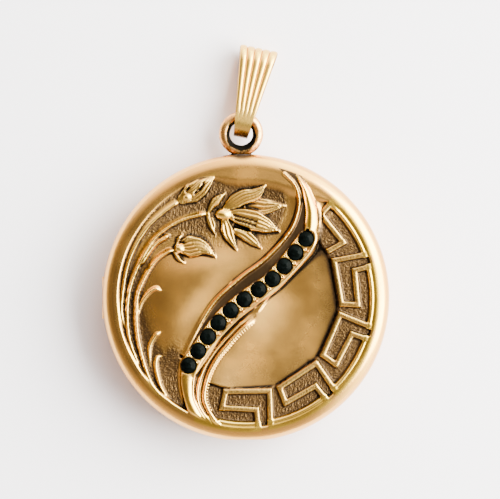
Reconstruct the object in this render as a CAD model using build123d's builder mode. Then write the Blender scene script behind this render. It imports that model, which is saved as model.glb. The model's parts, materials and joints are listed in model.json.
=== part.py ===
from build123d import *
import os
from math import cos, radians, sin

# A round hinged picture locket lying on its back, in millimetres. +Z leaves the front face, +Y points
# from the case to the bail, and the origin is the middle of the flat back.

# Case: two shallow dishes that meet at the seam, each with a rounded bead round its side
case_radius = 15.0  # widest line of both beads
seam_radius = 14.6
inner_radius = 14.0  # straight inside wall of both halves
seam_height = 3.2
seam_gap = 0.05
back_bead_height = 2.0
front_bead_height = 4.4
rest_radius = 9.0  # flat middle of the back
sheet = 0.5
crest_radius = 13.9  # top of the rolled front rim
crest_height = 5.9
rim_shoulder = (13.5, 5.78)  # on the inner slope of the rim
field_radius = 13.25  # where the rim meets the front field
field_edge_height = 5.5
field_middle_height = 5.75
back_edge = seam_height - seam_gap / 2
front_edge = seam_height + seam_gap / 2
field_half_way = Vector(field_radius / 2, 0.25 * field_edge_height + 0.75 * field_middle_height)

# Relief on the front: every raised shape starts inside the sheet and ends at its own height
relief_root = 5.35
stem_top = 6.0
key_top = 6.05
band_top = 6.15
flower_top = 6.3
ridge_top = 6.4
ridge_width = 0.4
stem_width = 0.32

# Greek key, in polar form: radius of each track and the angles of one unit
key_outer = 13.15
key_middle = 11.7
key_inner = 10.0
key_width = 0.7
key_start = 23.0
key_pitch = 32.9
key_units = 4
key_leg = 26.5
key_return = 7.6
key_step = 3.0
key_ridge = key_pitch + key_step
key_top_angle = 48.0
key_half_unit = key_top_angle - key_start + key_step
key_short_leg = 18.4

# Paste stones along the S band
stone_count = 11
stone_radius = 0.765
stone_girdle_height = 6.25
stone_crown = 0.3
stone_pavilion = 0.55
stone_facets = 12

# Hinge at the left of the case, nested in the seam
hinge_x = -14.7
knuckle_radius = 0.36
knuckle_half = 0.7  # half length of the front knuckle
hinge_half = 2.2  # half length of the whole hinge
knuckle_gap = 0.05
pin_radius = 0.16
pin_clearance = 0.04
notch_clearance = 0.06

# Opening flat for a thumbnail at the bottom of the case
flat_depth = 0.19
nick_width = 3.2
nick_height = 0.3
nick_depth = 0.5

# Snap rim and picture fittings
snap_outer = 13.85
snap_inner = 13.5
snap_top = 3.9
snap_hinge_relief = 3.2
back_face = 2.75  # face of the back inner plate
front_face = 4.0
plate = 0.3
well_floor = 0.2
well_depth = 0.75
well_radius = 10.4
frame_inner = 9.5
frame_lip = 0.3
card_radius = 10.1
card_thickness = 0.15

# Bail ring and its saddle
ring_centre = (-0.5, 17.2)
ring_height = 2.4
ring_major = 1.77
ring_wire = 0.58
saddle_width = 3.8
saddle_low = 1.3
saddle_high = 3.05
saddle_bottom = 14.2
saddle_top = 15.6
saddle_round = 0.3

# Bail: a strip bent into a long loop that hangs on the top of the ring and leans to the right
bail_lean = 12.0
bail_droop = 6.2
bail_strip = 0.35
bail_foot_radius = 1.52
bail_foot = -0.65
bail_head_radius = 1.75
bail_head = 5.77
bail_foot_width = 1.44
bail_head_width = 4.04

os.makedirs("parts", exist_ok=True)


def polar(radius, angle):
    return (radius * cos(radians(angle)), radius * sin(radians(angle)))


def petal(base, tip, width):
    """Pointed leaf outline between two points, drawn as two arcs in the open sketch."""
    base, tip = Vector(*base), Vector(*tip)
    middle = (base + tip) / 2
    side = (tip - base).normalized().rotate(Axis.Z, 90) * width / 2
    with BuildLine() as outline:
        ThreePointArc(base, middle + side, tip)
        ThreePointArc(tip, middle - side, base)
    make_face(outline.edges())


# Lines of the relief, seen from the front
stone_line = Spline((-5.99, -7.04), (-2.85, -2.55), (0, 0), (2.9, 2.1), (6.25, 6.15))
left_ridge = [
    (4.2, 12.6), (5.6, 10.0), (3.5, 5.3), (-2.9, 0), (-6.5, -5.7), (-6.7, -9.6), (-5.4, -12.3)
]
right_ridge = [
    (5.3, 12.5), (7.0, 10.5), (7.6, 8.0), (5.9, 3.9), (1.1, -0.5), (-3.4, -4.6), (-5.5, -9.5), (-4.2, -12.7)
]
rope_ridge = [(0.9, -2.2), (-1.9, -4.9), (-3.9, -8.2), (-4.3, -10.5), (-3.2, -12.8)]
stems = [
    [(-6.7, 10.1), (-10.3, 7.15), (-12.3, 3.5), (-12.9, -0.7)],
    [(-3.7, 8.9), (-6.7, 8.1), (-9.2, 6.5), (-12.2, 0.4), (-11.0, -7.3)],
    [(-7.7, 4.9), (-9.7, 3.5), (-11.3, -0.5), (-11.2, -4.3), (-9.6, -9.0)],
    [(-8.9, 0.7), (-9.6, 0.9), (-10.7, -0.1)],
    [(-9.0, -3.5), (-10.0, -5.0), (-9.8, -7.6)],
    [(-8.8, -6.15), (-9.35, -6.7), (-8.0, -10.2), (-6.8, -11.75)],
]
petals = [
    ((-2.2, 9.0), (2.0, 11.7), 1.7),
    ((-1.0, 9.3), (4.1, 9.6), 1.9),
    ((-0.6, 8.9), (3.5, 7.1), 1.9),
    ((-1.8, 8.2), (1.4, 5.4), 1.4),
    ((-2.8, 8.0), (-1.1, 5.1), 1.4),
    ((-4.0, 8.8), (-2.1, 10.9), 0.9),
    ((-4.0, 8.6), (-3.3, 6.7), 0.8),
    ((-3.2, 8.7), (-1.0, 8.7), 1.3),
    ((-6.6, 9.9), (-3.5, 12.9), 2.3),
    ((-7.4, 5.2), (-3.4, 4.6), 2.2),
    ((-7.0, 5.8), (-5.6, 6.6), 0.7),
    ((-6.9, 4.4), (-5.5, 3.9), 0.6),
]

# Paste stones: faceted crown and pavilion, meeting at the girdle
for number in range(stone_count):
    place = stone_line @ (number / (stone_count - 1))
    with BuildPart() as paste_stone:
        with BuildSketch(Plane.XY.offset(stone_girdle_height)):
            with Locations((place.X, place.Y)):
                RegularPolygon(stone_radius, stone_facets)
        extrude(amount=stone_crown, taper=45)
        with BuildSketch(Plane.XY.offset(stone_girdle_height)):
            with Locations((place.X, place.Y)):
                RegularPolygon(stone_radius, stone_facets)
        extrude(amount=-stone_pavilion, taper=48)
    paste_stone.part.label = f"paste_stone_{number + 1:02d}"
    export_step(paste_stone.part, f"parts/paste_stone_{number + 1:02d}.step")
    if number == 0:
        all_stones = paste_stone.part
    else:
        all_stones = all_stones + paste_stone.part

# Bail ring: a thick closed wire ring lying flat against the top of the case
with BuildPart() as bail_ring:
    with Locations((*ring_centre, ring_height)):
        Torus(ring_major, ring_wire)
bail_ring.part.label = "bail_ring"
export_step(bail_ring.part, "parts/bail_ring.step")


def hinge_barrel(low, high, radius, mode=Mode.ADD):
    """Round bar along the hinge axis between two places on Y, in the open part."""
    with Locations((hinge_x, (low + high) / 2, seam_height)):
        Cylinder(radius, high - low, rotation=(90, 0, 0), mode=mode)


def opening_flat():
    """Cuts the thumbnail flat and the nick in the seam out of the open part."""
    with Locations((0, -case_radius, seam_height)):
        Box(case_radius, 2 * flat_depth, 2 * seam_height, mode=Mode.SUBTRACT)
        Box(nick_width, 2 * nick_depth, nick_height, mode=Mode.SUBTRACT)


back_knuckles = {
    "upper": (knuckle_half + knuckle_gap, hinge_half),
    "lower": (-hinge_half, -knuckle_half - knuckle_gap),
}

# Back cover: flat middle, rounded up into the side bead
with BuildPart() as back_cover:
    with BuildSketch(Plane.XZ):
        with BuildLine():
            Line((0, 0), (rest_radius, 0))
            EllipticalCenterArc(
                (rest_radius, back_bead_height),
                case_radius - rest_radius,
                back_bead_height,
                start_angle=270,
                arc_size=90,
            )
            TangentArc((case_radius, back_bead_height), (seam_radius, back_edge), tangent=(0, 1))
            Line((seam_radius, back_edge), (inner_radius, back_edge))
            Line((inner_radius, back_edge), (inner_radius, back_bead_height))
            EllipticalCenterArc(
                (rest_radius, back_bead_height),
                inner_radius - rest_radius,
                back_bead_height - sheet,
                start_angle=270,
                arc_size=90,
            )
            Line((rest_radius, sheet), (0, sheet))
            Line((0, sheet), (0, 0))
        make_face()
    revolve(axis=Axis.Z)
    for low, high in back_knuckles.values():
        hinge_barrel(low, high, knuckle_radius, Mode.SUBTRACT)
    hinge_barrel(
        -knuckle_half - knuckle_gap,
        knuckle_half + knuckle_gap,
        knuckle_radius + notch_clearance,
        Mode.SUBTRACT,
    )
    opening_flat()
    add(bail_ring.part, mode=Mode.SUBTRACT)
back_cover.part.label = "back_cover"
export_step(back_cover.part, "parts/back_cover.step")

# Front cover: side bead, rolled rim and domed field, with the stamped relief raised on it
with BuildPart() as front_cover:
    with BuildSketch(Plane.XZ):
        with BuildLine():
            TangentArc((case_radius, front_bead_height), (seam_radius, front_edge), tangent=(0, -1))
            EllipticalCenterArc(
                (crest_radius, front_bead_height),
                case_radius - crest_radius,
                crest_height - front_bead_height,
                start_angle=0,
                arc_size=90,
            )
            ThreePointArc((crest_radius, crest_height), rim_shoulder, (field_radius, field_edge_height))
            ThreePointArc(
                (field_radius, field_edge_height), field_half_way, (0, field_middle_height)
            )
            Line((0, field_middle_height), (0, field_middle_height - sheet))
            ThreePointArc(
                (0, field_middle_height - sheet),
                field_half_way - Vector(0, sheet),
                (field_radius, field_edge_height - sheet),
            )
            Line((field_radius, field_edge_height - sheet), (inner_radius, front_bead_height + sheet / 2))
            Line((inner_radius, front_bead_height + sheet / 2), (inner_radius, front_edge))
            Line((inner_radius, front_edge), (seam_radius, front_edge))
        make_face()
    revolve(axis=Axis.Z)

    # Greek key: four whole units down the right side, and a half unit above them
    with BuildSketch(Plane.XY.offset(relief_root)):
        for unit in range(key_units):
            start = key_start - unit * key_pitch
            with BuildLine():
                Line(polar(key_outer, start - key_step), polar(key_inner, start))
                Line(polar(key_inner, start), polar(key_inner, start - key_leg))
                Line(polar(key_inner, start - key_leg), polar(key_middle, start - key_leg))
                Line(polar(key_middle, start - key_leg), polar(key_middle, start - key_return))
                Line(polar(key_middle, start - key_return), polar(key_outer, start - key_return))
                CenterArc((0, 0), key_outer, start - key_return, key_return - key_ridge)
            trace(line_width=key_width)
        with BuildLine():
            CenterArc((0, 0), key_outer, key_start - key_step, key_half_unit)
            Line(polar(key_outer, key_top_angle), polar(key_middle, key_top_angle))
            Line(polar(key_middle, key_top_angle), polar(key_middle, key_top_angle - key_short_leg))
            Line(
                polar(key_middle, key_top_angle - key_short_leg),
                polar(key_inner, key_top_angle - key_short_leg),
            )
        trace(line_width=key_width)
    extrude(amount=key_top - relief_root)

    # Raised S band between two ridges, with the narrow rope ridge and the horn beside it
    with BuildSketch(Plane.XY.offset(relief_root)):
        with BuildLine():
            Spline(*left_ridge)
            Line(left_ridge[-1], right_ridge[-1])
            Spline(*right_ridge)
            Line(right_ridge[0], left_ridge[0])
        make_face()
    extrude(amount=band_top - relief_root)
    with BuildSketch(Plane.XY.offset(relief_root)):
        for ridge in (left_ridge, right_ridge):
            with BuildLine():
                Spline(*ridge)
            trace(line_width=ridge_width)
    extrude(amount=ridge_top - relief_root)
    with BuildSketch(Plane.XY.offset(relief_root)):
        with BuildLine():
            Spline(*rope_ridge)
        trace(line_width=ridge_width)
    extrude(amount=band_top - relief_root)

    # Stems and curled leaves, then the flower, the two buds and their sepals
    with BuildSketch(Plane.XY.offset(relief_root)):
        for stem in stems:
            with BuildLine():
                Spline(*stem)
            trace(line_width=stem_width)
    extrude(amount=stem_top - relief_root)
    with BuildSketch(Plane.XY.offset(relief_root)):
        for base, tip, width in petals:
            petal(base, tip, width)
    extrude(amount=flower_top - relief_root)

    for low, high in back_knuckles.values():
        hinge_barrel(low - knuckle_gap, high + knuckle_gap, knuckle_radius + notch_clearance, Mode.SUBTRACT)
    hinge_barrel(-knuckle_half, knuckle_half, knuckle_radius, Mode.SUBTRACT)
    opening_flat()
    add(all_stones, mode=Mode.SUBTRACT)
front_cover.part.label = "front_cover"
export_step(front_cover.part, "parts/front_cover.step")

# Hinge: two knuckles on the back half, one on the front half, and the pin through all three
for side, (low, high) in back_knuckles.items():
    with BuildPart() as back_knuckle:
        hinge_barrel(low, high, knuckle_radius)
        hinge_barrel(low, high, pin_radius, Mode.SUBTRACT)
    back_knuckle.part.label = f"hinge_knuckle_back_{side}"
    export_step(back_knuckle.part, f"parts/hinge_knuckle_back_{side}.step")

with BuildPart() as front_knuckle:
    hinge_barrel(-knuckle_half, knuckle_half, knuckle_radius)
    hinge_barrel(-knuckle_half, knuckle_half, pin_radius + pin_clearance, Mode.SUBTRACT)
front_knuckle.part.label = "hinge_knuckle_front"
export_step(front_knuckle.part, "parts/hinge_knuckle_front.step")

with BuildPart() as hinge_pin:
    hinge_barrel(-hinge_half, hinge_half, pin_radius)
hinge_pin.part.label = "hinge_pin"
export_step(hinge_pin.part, "parts/hinge_pin.step")

# Snap rim: the thin band on the back half that the lid closes over, left open beside the hinge
with BuildPart() as snap_rim:
    with BuildSketch(Plane.XY.offset(back_face)):
        Circle(snap_outer)
        Circle(snap_inner, mode=Mode.SUBTRACT)
        with Locations((-case_radius, 0)):
            Rectangle(case_radius, 2 * snap_hinge_relief, mode=Mode.SUBTRACT)
    extrude(amount=snap_top - back_face)
snap_rim.part.label = "snap_rim"
export_step(snap_rim.part, "parts/snap_rim.step")

# Picture fittings of each half: a plate with a round well, and in the well a card, a lens and the
# frame that keeps them there. The wells go down in the back half and up in the front half.
for side, face, inward in (("back", back_face, -1), ("front", front_face, 1)):
    floor = face + inward * well_depth
    with BuildPart() as inner_plate:
        with BuildSketch(Plane.XY.offset(face)):
            Circle(inner_radius)
        extrude(amount=inward * plate)
        with BuildSketch(Plane.XY.offset(face)):
            Circle(well_radius + plate)
        extrude(amount=inward * (well_depth + well_floor))
        with BuildSketch(Plane.XY.offset(face)):
            Circle(well_radius)
        extrude(amount=inward * well_depth, mode=Mode.SUBTRACT)
    inner_plate.part.label = f"{side}_inner_plate"
    export_step(inner_plate.part, f"parts/{side}_inner_plate.step")

    with BuildPart() as photo_frame:
        with BuildSketch(Plane.XY.offset(face)):
            Circle(well_radius)
            Circle(frame_inner, mode=Mode.SUBTRACT)
        extrude(amount=inward * well_depth)
        with BuildSketch(Plane.XY.offset(face + inward * frame_lip)):
            Circle(card_radius)
        extrude(amount=inward * well_depth, mode=Mode.SUBTRACT)
    photo_frame.part.label = f"{side}_photo_frame"
    export_step(photo_frame.part, f"parts/{side}_photo_frame.step")

    with BuildPart() as picture_card:
        with BuildSketch(Plane.XY.offset(floor)):
            Circle(card_radius)
        extrude(amount=-inward * card_thickness)
    picture_card.part.label = f"{side}_picture_card"
    export_step(picture_card.part, f"parts/{side}_picture_card.step")

    with BuildPart() as lens:
        with BuildSketch(Plane.XY.offset(floor - inward * card_thickness)):
            Circle(card_radius)
        extrude(amount=-inward * (well_depth - card_thickness - frame_lip))
    lens.part.label = f"{side}_lens"
    export_step(lens.part, f"parts/{side}_lens.step")

# Saddle: the block of solder and sheet that joins the ring to the back half
with BuildPart() as ring_saddle:
    with BuildSketch(Plane.XY.offset(saddle_low)):
        with Locations((ring_centre[0], (saddle_bottom + saddle_top) / 2)):
            Rectangle(saddle_width, saddle_top - saddle_bottom)
    extrude(amount=saddle_high - saddle_low)
    fillet(ring_saddle.faces().sort_by(Axis.Y)[-1].edges(), radius=saddle_round)
    add(back_cover.part, mode=Mode.SUBTRACT)
    add(bail_ring.part, mode=Mode.SUBTRACT)
ring_saddle.part.label = "ring_saddle"
export_step(ring_saddle.part, "parts/ring_saddle.step")

# Bail: the side view is the band between two round ends, the front view is the taper
lean = Vector(sin(radians(bail_lean)), cos(radians(bail_lean)), 0)
across = Vector(cos(radians(bail_lean)), -sin(radians(bail_lean)), 0)
pivot = Vector(*ring_centre, ring_height) + lean * ring_major
along = lean.rotate(Axis((0, 0, 0), tuple(across)), -bail_droop)
side_view = Plane(origin=pivot, x_dir=along, z_dir=across)
front_view = Plane(origin=pivot, x_dir=across, z_dir=across.cross(along))
with BuildPart() as bail:
    with BuildSketch(side_view) as loop:
        with Locations((bail_foot, 0)):
            Circle(bail_foot_radius)
        with Locations((bail_head, 0)):
            Circle(bail_head_radius)
        make_hull()
        offset(amount=-bail_strip, mode=Mode.SUBTRACT)
    extrude(amount=bail_head_width, both=True)
    with BuildSketch(front_view):
        Polygon(
            (-bail_foot_width / 2, bail_foot - bail_foot_radius),
            (bail_foot_width / 2, bail_foot - bail_foot_radius),
            (bail_head_width / 2, bail_head + bail_head_radius),
            (-bail_head_width / 2, bail_head + bail_head_radius),
            align=None,
        )
    extrude(amount=2 * bail_head_radius, both=True, mode=Mode.INTERSECT)
bail.part.label = "bail"
export_step(bail.part, "parts/bail.step")
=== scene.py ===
"""Round hinged picture locket: a stamped gold case with an S band of dark paste stones, a lily spray and a
Greek key, hanging from a ring and a fluted bail. Sizes are in millimetres; meshes and the stage are in metres."""

import json
import math

import bmesh
import bpy
import numpy as np
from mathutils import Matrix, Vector


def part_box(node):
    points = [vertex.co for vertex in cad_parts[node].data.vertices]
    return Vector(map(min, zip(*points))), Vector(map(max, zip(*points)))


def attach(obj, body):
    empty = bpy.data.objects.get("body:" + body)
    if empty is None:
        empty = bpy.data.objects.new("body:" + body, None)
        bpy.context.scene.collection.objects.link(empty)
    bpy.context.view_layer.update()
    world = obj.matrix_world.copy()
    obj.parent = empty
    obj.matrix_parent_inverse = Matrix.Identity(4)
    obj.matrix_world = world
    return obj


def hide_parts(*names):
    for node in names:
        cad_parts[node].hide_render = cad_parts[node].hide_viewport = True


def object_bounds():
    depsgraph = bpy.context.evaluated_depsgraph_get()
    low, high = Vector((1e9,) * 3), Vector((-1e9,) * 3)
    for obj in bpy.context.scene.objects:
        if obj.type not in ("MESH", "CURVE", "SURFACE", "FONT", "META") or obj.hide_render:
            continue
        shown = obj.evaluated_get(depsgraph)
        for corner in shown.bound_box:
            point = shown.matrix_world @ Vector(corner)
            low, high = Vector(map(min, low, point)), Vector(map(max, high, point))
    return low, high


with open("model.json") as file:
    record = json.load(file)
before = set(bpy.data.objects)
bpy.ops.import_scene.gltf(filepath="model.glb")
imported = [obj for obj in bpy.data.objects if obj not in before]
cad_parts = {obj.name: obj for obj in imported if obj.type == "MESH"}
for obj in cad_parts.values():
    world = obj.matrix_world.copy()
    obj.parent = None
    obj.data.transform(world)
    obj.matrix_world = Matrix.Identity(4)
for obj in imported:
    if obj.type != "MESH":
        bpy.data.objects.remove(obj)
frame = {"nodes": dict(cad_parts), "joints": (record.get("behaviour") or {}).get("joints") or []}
CAD_BOX = [list(corner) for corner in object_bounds()]

bl_info = {
    "name": "Antique Locket",
    "version": (1, 0, 0),
    "blender": (4, 5, 0),
    "location": "3D View > Sidebar > Locket",
    "description": "Builds the pieces, finishes and stage of a stone-set picture locket",
    "category": "Object",
}

MM = 0.001


def cad(node):
    """Lowest and highest corner of a node, in millimetres."""
    low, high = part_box(node)
    return low / MM, high / MM


# Case outline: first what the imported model's boxes say, then the heights and radii that it is built with
COVER_LOW, COVER_HIGH = cad("front_cover")
CASE_RADIUS = COVER_HIGH.x
FLAT = -COVER_LOW.y
SEAM = COVER_LOW.z
PIN_LOW, PIN_HIGH = cad("hinge_pin")
HINGE = Vector(((PIN_LOW.x + PIN_HIGH.x) / 2, 0, (PIN_LOW.z + PIN_HIGH.z) / 2))
HINGE_HALF = PIN_HIGH.y
BEAD = 4.4  # height of the lid's widest circle
SIDE_CENTRE = 13.074  # how far out the centre of the side's arc is
CREST = 5.95  # height of the rolled rim
CREST_RADIUS = 13.45
INNER_RADIUS = 14.0
NOTCH = 0.42  # radius kept free round the hinge barrel
NICK_HALF = 1.6  # thumbnail nick: half width, depth from the middle and top
NICK_DEPTH = 14.5
NICK_TOP = 3.35


# ---------------------------------------------------------------- curves and surfaces


def smooth(low, high, value):
    """0 below low, 1 above high and an S curve between; low may be the larger."""
    t = np.clip((value - low) / (high - low), 0, 1)
    return t * t * (3 - 2 * t)


def rounded(share):
    """Quarter wave from 0 up to 1, level at the top."""
    return np.sin(np.clip(share, 0, 1) * math.pi / 2)


def flowing(points, steps=10):
    """Smooth line through the given points, as many short runs."""
    p = np.array(points, float)
    p = np.vstack([2 * p[0] - p[1], p, 2 * p[-1] - p[-2]])
    made = []
    for a, b, c, d in zip(p, p[1:], p[2:], p[3:]):
        for t in np.arange(steps) / steps:
            bent = (2 * a - 5 * b + 4 * c - d) * t**2 + (3 * b - a - 3 * c + d) * t**3
            made.append(0.5 * (2 * b + (c - a) * t + bent))
    made.append(p[-2])
    return np.array(made)


def run_of(line):
    """Length along a line at each of its points."""
    return np.concatenate([[0], np.cumsum(np.hypot(*(line[1:] - line[:-1]).T))])


def beside(line, x, y):
    """Distance from the line, the side (+1 on the left as it is travelled) and the share of its length."""
    best = np.full(x.shape, 1e9)
    side = np.zeros(x.shape)
    share = np.zeros(x.shape)
    steps = np.hypot(*(line[1:] - line[:-1]).T)
    gone = 0.0
    for start, end, length in zip(line, line[1:], steps):
        if length == 0:
            continue
        ux, uy = (end - start) / length
        px, py = x - start[0], y - start[1]
        t = np.clip(px * ux + py * uy, 0, length)
        away = np.hypot(px - t * ux, py - t * uy)
        nearer = away < best
        best = np.where(nearer, away, best)
        side = np.where(nearer, np.sign(ux * py - uy * px), side)
        share = np.where(nearer, gone + t, share)
        gone += length
    return best, side, share / gone


def blurred(field, reach):
    """Mean over a square of 2 * reach + 1 cells, taken twice."""
    width = 2 * reach + 1
    for _ in range(2):
        for axis in (0, 1):
            pad = [(reach + 1, reach) if a == axis else (0, 0) for a in (0, 1)]
            total = np.cumsum(np.pad(field, pad, mode="edge"), axis=axis)
            ahead = np.take(total, range(width, total.shape[axis]), axis=axis)
            behind = np.take(total, range(total.shape[axis] - width), axis=axis)
            field = (ahead - behind) / width
    return field


def evened(shape, x, y, reach, pitch=0.1, half=14.0):
    """Values of shape(x, y) at the places, after a blur of reach cells on an even square grid."""
    a = np.arange(-half, half + pitch, pitch)
    field = blurred(shape(*np.meshgrid(a, a, indexing="ij")), reach)
    u = np.clip((x + half) / pitch, 0, len(a) - 1.01)
    v = np.clip((y + half) / pitch, 0, len(a) - 1.01)
    i, j = u.astype(int), v.astype(int)
    s, t = u - i, v - j
    near = field[i, j] * (1 - s) + field[i + 1, j] * s
    far = field[i, j + 1] * (1 - s) + field[i + 1, j + 1] * s
    return near * (1 - t) + far * t


def disc_grid(count, radius):
    """Square grid folded onto a disc, its outer cells evenly spaced round the edge."""
    a = np.linspace(-1, 1, count + 1)
    u, v = np.meshgrid(a, a, indexing="ij")
    wide = np.abs(u) > np.abs(v)
    reach = np.where(wide, u, v) * radius
    tall = np.where(wide | (v == 0), 1, v)
    broad = np.where(wide, u, 1)
    turn = np.where(wide, math.pi / 4 * v / broad, math.pi / 2 - math.pi / 4 * u / tall)
    return reach * np.cos(turn), reach * np.sin(turn)


def edge_order(count):
    """Grid places round the edge of a disc grid, anticlockwise from the right."""
    side = range(count)
    half = count // 2
    loop = [(count, j) for j in side] + [(count - i, count) for i in side]
    loop += [(0, count - j) for j in side] + [(i, 0) for i in side]
    return loop[half:] + loop[:half]


def set_piece(mesh, body, material):
    """Object of a mesh, in its material and slot, riding a body."""
    mesh.materials.append(material)
    piece = bpy.data.objects.new(mesh.name, mesh)
    bpy.context.scene.collection.objects.link(piece)
    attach(piece, body)
    return piece


def make_piece(name, points, faces, body, material, attributes=None):
    """Mesh piece from points in millimetres, riding a body, with its normals turned outward."""
    mesh = bpy.data.meshes.new(name)
    mesh.from_pydata((np.asarray(points, float) * MM).tolist(), [], faces)
    for key, values in (attributes or {}).items():
        layer = mesh.attributes.new(key, "FLOAT", "POINT")
        layer.data.foreach_set("value", np.asarray(values, float).ravel())
    shape = bmesh.new()
    shape.from_mesh(mesh)
    bmesh.ops.recalc_face_normals(shape, faces=shape.faces)
    shape.to_mesh(mesh)
    shape.free()
    mesh.polygons.foreach_set("use_smooth", [True] * len(mesh.polygons))
    return set_piece(mesh, body, material)


def tube_faces(rows, columns, closed_rows=False, closed_columns=True):
    """Quads of a grid of points, row after row."""
    faces = []
    for i in range(rows if closed_rows else rows - 1):
        for j in range(columns if closed_columns else columns - 1):
            row, after, beyond = i * columns, (i + 1) % rows * columns, (j + 1) % columns
            faces.append((row + j, row + beyond, after + beyond, after + j))
    return faces


# ---------------------------------------------------------------- the stamped front

# Levels of the relief, above the back
FLOWER_GROUND = 5.52
LOBE_GROUND = 5.68
PUNCHED_GROUND = 5.45
GROOVE_FLOOR = 5.78
DISH_BOTTOM = 5.3
DISH_DEPTH = 0.74
BORDER_CREST = 6.3
TAIL_FOOT = 5.82
ROPE_CREST = 6.16
MIDDLE_CREST = 6.0
HORN_FOOT = 5.85
HORN_RISE = 0.55

# Half widths of the band's lines
RIDGE_OUTER, RIDGE_INNER = 0.34, 0.26
ROPE_HALF = 0.34
LINE_HALF = 0.2

# Lines of the S band, each from its top to its bottom but for the stones', which runs upward
LEFT_RIDGE = [
    (4.0, 12.95), (4.95, 12.0), (5.45, 10.9), (5.5, 9.3), (4.6, 6.95), (2.1, 4.1), (-0.55, 2.1),
    (-2.95, -0.05), (-4.3, -1.9), (-5.7, -4.4), (-6.55, -6.4), (-6.8, -8.8), (-6.2, -11.4), (-5.2, -13.0),
]
BORDER = [  # ridge at the right of the stones
    (7.35, 7.3), (6.85, 5.2), (5.85, 3.9), (4.35, 2.3), (2.8, 0.95), (1.15, -0.55), (-0.55, -1.9),
    (-1.9, -3.2), (-3.35, -4.7), (-4.65, -6.4), (-5.35, -8.0), (-5.5, -10.1), (-5.0, -11.5), (-3.8, -13.5),
]
ROPE = [
    (0.95, -2.15), (-0.55, -3.45), (-1.85, -4.9), (-3.05, -6.45), (-3.9, -8.2), (-4.3, -10.2), (-3.95, -11.5),
    (-2.85, -13.3),
]
ROPE_LENGTH = 14.0  # rounded up; sets how many teeth are cut along it
MIDDLE_LINE = [  # fine line between the border and the rope
    (1.4, -1.35), (-0.55, -2.7), (-2.0, -4.15), (-3.3, -5.7), (-4.35, -7.4), (-4.95, -9.2), (-5.0, -10.6),
    (-4.6, -11.7), (-3.5, -13.3),
]
LOBE_EDGE = [  # where the ground at the right of the band starts
    (5.0, 13.9), (6.5, 11.6), (7.45, 9.6), (7.75, 8.0), (7.1, 5.4), (6.1, 3.8), (4.5, 2.1), (2.95, 0.7),
    (1.0, -1.9), (-0.5, -3.4), (-1.8, -4.85), (-3.0, -6.4), (-3.8, -8.2), (-4.15, -10.2), (-3.8, -11.5),
    (-2.7, -13.2),
]
LOBE_SIDE = [  # what the slope of the right lobe is measured from
    (7.6, 8.0), (6.2, 4.4), (4.2, 1.7), (2.0, -0.7), (-0.1, -2.9), (-1.9, -5.0), (-3.2, -7.2), (-4.0, -10.0),
    (-3.4, -13.0),
]
STONE_LINE = [(-5.99, -7.04), (-2.85, -2.55), (0, 0), (2.9, 2.1), (6.25, 6.15)]
HORN = [(5.35, 12.75), (6.2, 11.35), (6.62, 10.1), (6.85, 9.0), (6.85, 7.9), (6.75, 6.8)]

SEAT_RADIUS, SEAT_DEPTH = 0.84, 0.35  # hollows that the stones sit in
PIT_DEPTH = 0.3
STRIP_ENDS = ((6.42, 7.05, 0.24), (-6.75, -6.1, 0.26))  # pits beyond the end stones, with their radii

RIM_EDGE = [  # angle round the lid and the radius where the rim starts
    (-180, 13.36), (-118, 13.36), (-104, 13.55), (0, 13.6), (43, 13.6), (50, 13.25), (60, 12.75), (72, 12.55),
    (94, 12.5), (103, 13.05), (112, 13.36), (180, 13.36),
]

STEMS = [  # line, outer and inner half width
    ([(-6.7, 10.2), (-8.6, 8.9), (-10.5, 7.0), (-12.2, 3.7), (-12.95, -0.8), (-12.6, -3.4)], 0.62, 0.2),
    ([(-3.7, 8.9), (-6.7, 8.1), (-9.2, 6.5), (-10.9, 4.0), (-12.2, 0.4), (-12.2, -3.9), (-10.8, -8.0)], 0.5, 0.24),
    ([(-8.0, 6.6), (-9.6, 5.5), (-11.0, 3.4)], 0.35, 0.35),
    ([(-7.1, 5.05), (-8.2, 4.75), (-9.7, 3.5), (-11.0, 1.1), (-11.4, -0.9), (-11.2, -4.3), (-10.1, -8.3),
      (-8.5, -10.7)], 0.45, 0.24),
]
CURLS = [
    [(-8.85, 0.75), (-9.4, 1.0), (-10.2, 0.5), (-10.95, -0.6), (-11.3, -2.2)],
    [(-8.9, -3.5), (-9.5, -4.0), (-10.05, -5.2), (-10.0, -7.2)],
    [(-8.75, -6.1), (-9.25, -6.2), (-9.4, -7.2), (-8.9, -9.2), (-8.0, -10.6), (-6.8, -11.9)],
]

LILY = [  # spine, half widths along it, height, streaks, where the lip is and gilding
    ([(-3.9, 8.9), (-3.3, 9.9), (-2.1, 10.95)], [0.16, 0.3, 0.46, 0.3, 0.02], 0.5, 1, 0.6),
    ([(-3.95, 8.6), (-3.75, 7.7), (-3.2, 6.65)], [0.2, 0.26, 0.2, 0.05], 0.45, 1, 0.6),
    ([(-3.5, 8.3), (-3.3, 7.7), (-3.25, 7.0)], [0.1, 0.14, 0.05], 0.35, 1),
    ([(0.2, 9.55), (1.9, 9.5), (4.25, 9.6)], [0.4, 0.85, 0.7, 0.35, 0.02], 0.34, 4, -0.85, 0.2),
    ([(-2.2, 9.3), (-0.5, 10.4), (0.9, 10.75), (2.1, 11.75)], [0.25, 0.72, 0.72, 0.55, 0.02], 0.6, 5, -0.8),
    ([(-1.0, 6.95), (0.25, 6.35), (1.6, 5.15)], [0.35, 0.55, 0.42, 0.02], 0.55, 3, 0.75),
    ([(-2.2, 8.0), (-1.85, 6.7), (-0.95, 4.95)], [0.35, 0.6, 0.5, 0.26, 0.02], 0.62, 3, 0.8),
    ([(-1.8, 8.7), (0.1, 8.3), (1.9, 7.6), (3.5, 6.95)], [0.35, 0.85, 1.0, 0.72, 0.02], 0.74, 5, 0.85),
]
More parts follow.
